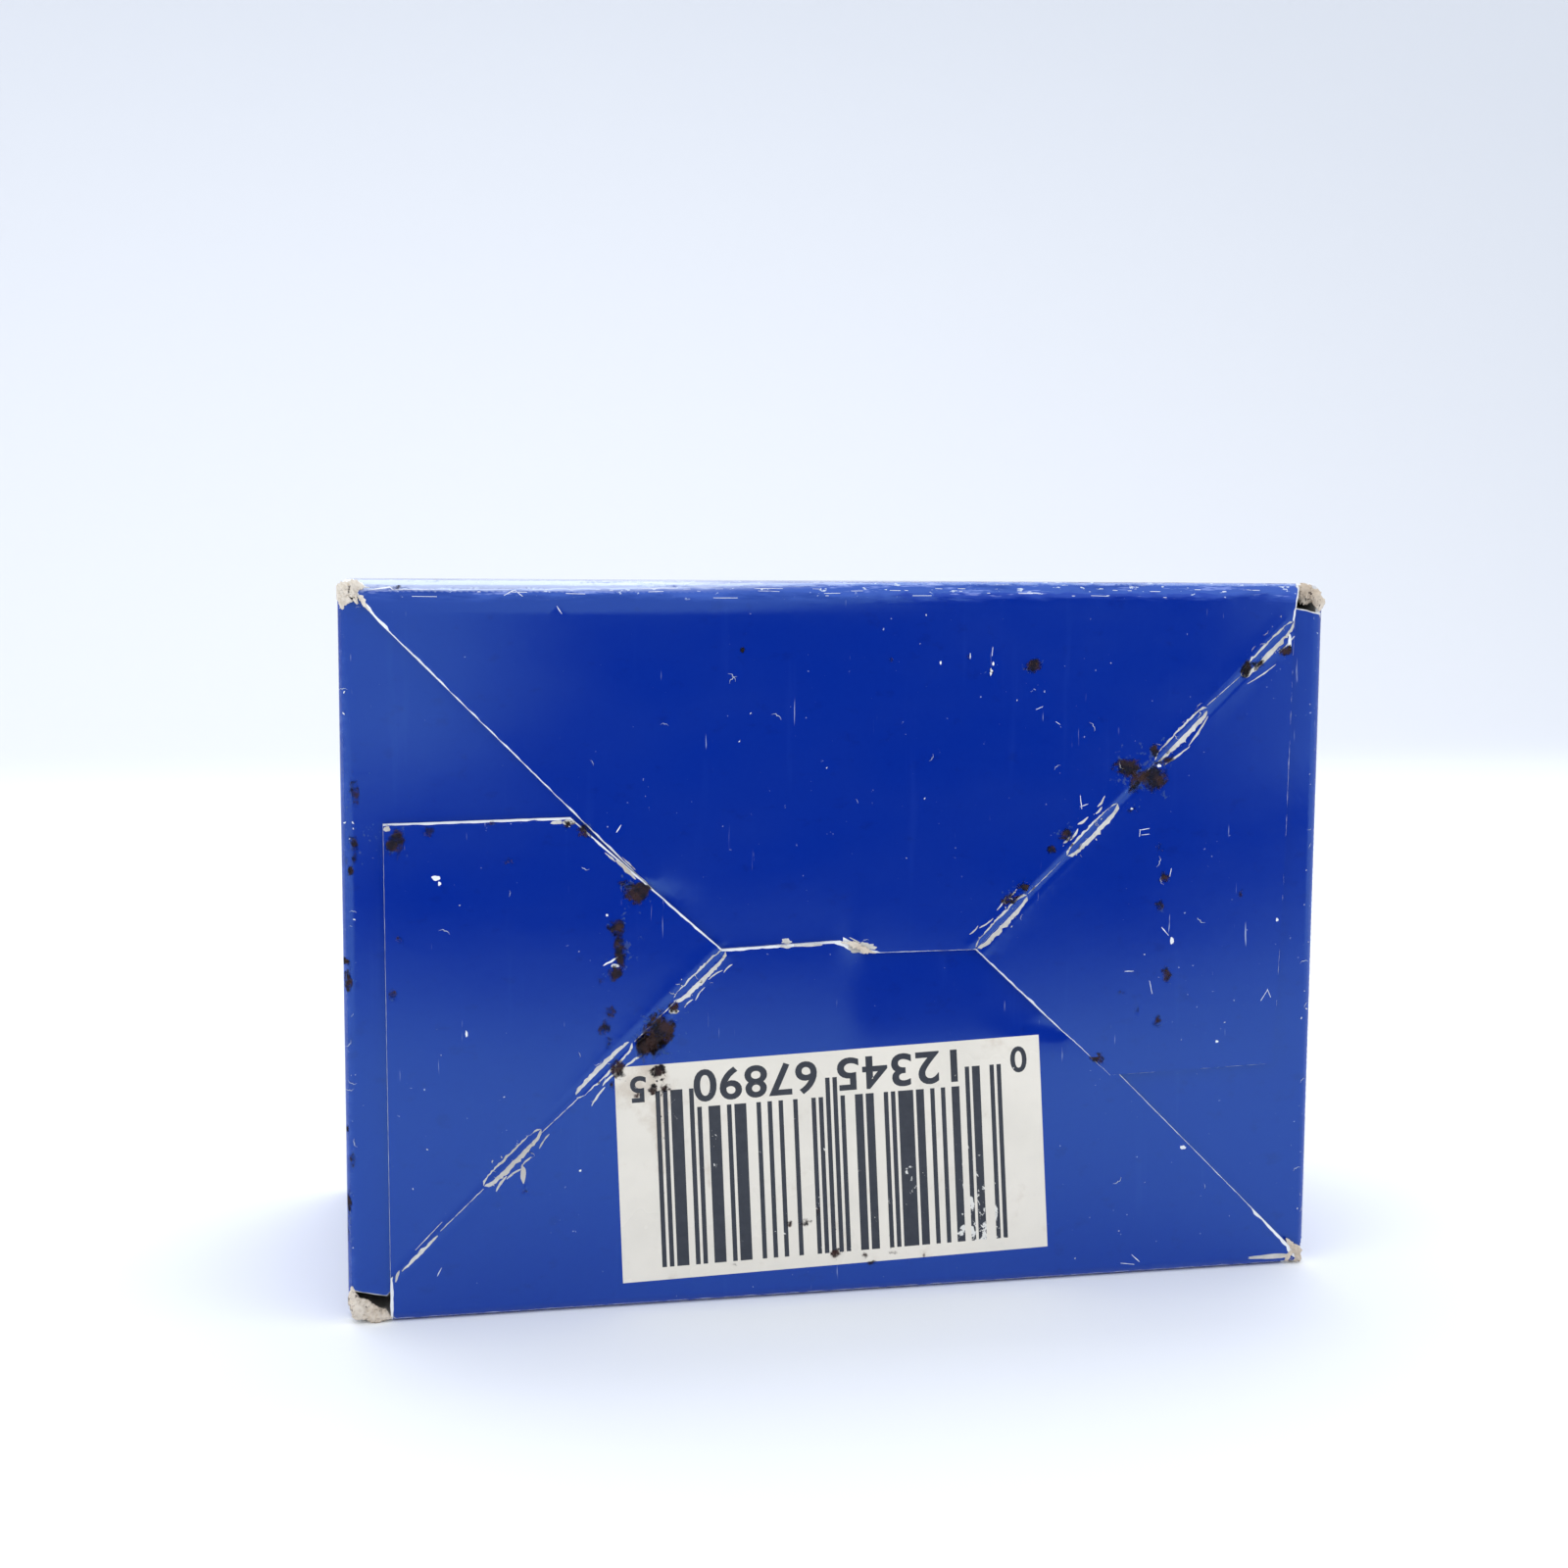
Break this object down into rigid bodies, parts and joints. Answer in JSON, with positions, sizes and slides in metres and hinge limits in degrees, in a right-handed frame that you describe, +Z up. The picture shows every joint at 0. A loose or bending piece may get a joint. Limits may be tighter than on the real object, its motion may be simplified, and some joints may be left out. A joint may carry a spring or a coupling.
{
  "type": "card deck box",
  "caption": "Glossy coated paperboard box for a deck of trading cards, with an auto-lock bottom of glued and hooked flaps and a hinged tuck lid with dust flaps.",
  "frame": {"origin": "centre of the outside face of the long side that the box stands on, which is the centre of its base outline", "axes": "+Z up from the side it stands on, -Y out of the auto-lock bottom, +Y out of the tuck lid, +X along the long edge to the right when the auto-lock bottom is seen from outside"},
  "size_m": [0.0914, 0.0422, 0.066],
  "materials": {
    "coated_board": "deep blue gloss coating over white-backed paperboard, cream at torn and cut edges",
    "flap_glue": "dried translucent cream adhesive film"
  },
  "bodies": {
    "sleeve": {"lower_panel": "coated_board", "upper_panel": "coated_board", "left_panel": "coated_board", "right_panel": "coated_board", "seam_flap": "coated_board", "seam_glue": "flap_glue", "lower_main_flap": "coated_board", "upper_main_flap": "coated_board", "left_lock_panel": "coated_board", "right_lock_panel": "coated_board", "left_side_flap": "coated_board", "right_side_flap": "coated_board", "left_lock_glue": "flap_glue", "right_lock_glue": "flap_glue"},
    "lid": {"lid": "coated_board"},
    "tuck_flap": {"tuck_flap": "coated_board"},
    "left_dust_flap": {"left_dust_flap": "coated_board"},
    "right_dust_flap": {"right_dust_flap": "coated_board"}
  },
  "joints": [
    {"name": "lid_fold", "type": "hinge", "parent": "sleeve", "child": "lid", "pos_m": [0, 0.0211, 0.066], "axis": [1, 0, 0], "range_deg": [0, 180]},
    {"name": "tuck_fold", "type": "hinge", "parent": "lid", "child": "tuck_flap", "pos_m": [0, 0.0211, 0.00075], "axis": [1, 0, 0], "range_deg": [0, 45]},
    {"name": "left_dust_fold", "type": "hinge", "parent": "sleeve", "child": "left_dust_flap", "pos_m": [-0.04575, 0.0205, 0.033], "axis": [0, 0, 1], "range_deg": [0, 90]},
    {"name": "right_dust_fold", "type": "hinge", "parent": "sleeve", "child": "right_dust_flap", "pos_m": [0.04575, 0.0205, 0.033], "axis": [0, 0, -1], "range_deg": [0, 90]}
  ],
  "couplings": [
    {"joint": "tuck_fold", "follows": "lid_fold", "ratio": 0.25},
    {"joint": "left_dust_fold", "follows": "lid_fold", "ratio": 0.5},
    {"joint": "right_dust_fold", "follows": "lid_fold", "ratio": 0.5}
  ]
}
